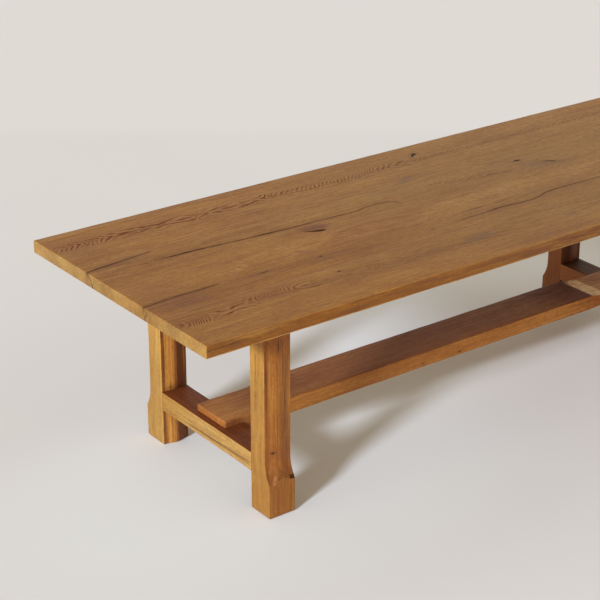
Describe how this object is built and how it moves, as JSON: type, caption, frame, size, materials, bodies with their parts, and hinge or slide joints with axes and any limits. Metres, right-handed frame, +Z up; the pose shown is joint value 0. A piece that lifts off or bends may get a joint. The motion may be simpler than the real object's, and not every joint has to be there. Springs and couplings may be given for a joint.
{
  "type": "trestle dining table",
  "caption": "Long trestle dining table in aged oak: plank top on shaped legs with scooped block feet, cross stretchers, and a long stretcher lapped over them.",
  "frame": {"origin": "on the floor, under the middle of the top", "axes": "+X along the table, to the right seen from its front; +Y from the front edge to the rear edge; +Z up from the floor"},
  "size_m": [2.6, 1, 0.75],
  "materials": {
    "oak_top": "aged oak, sanded, with a matt oil finish",
    "oak_base": "aged oak, hand-worked, with a matt oil finish",
    "zinc_steel": "zinc-plated"
  },
  "bodies": {
    "root": {"top_plank_front": "oak_top", "top_plank_front_middle": "oak_top", "top_plank_rear_middle": "oak_top", "top_plank_rear": "oak_top", "spline_front": "oak_top", "spline_middle": "oak_top", "spline_rear": "oak_top", "leg_front_left": "oak_base", "leg_rear_left": "oak_base", "leg_front_right": "oak_base", "leg_rear_right": "oak_base", "cross_stretcher_left": "oak_base", "cross_stretcher_right": "oak_base", "bearer_left": "oak_base", "bearer_right": "oak_base", "long_stretcher": "oak_base", "top_screws": "zinc_steel", "stretcher_screws": "zinc_steel"}
  },
  "joints": []
}
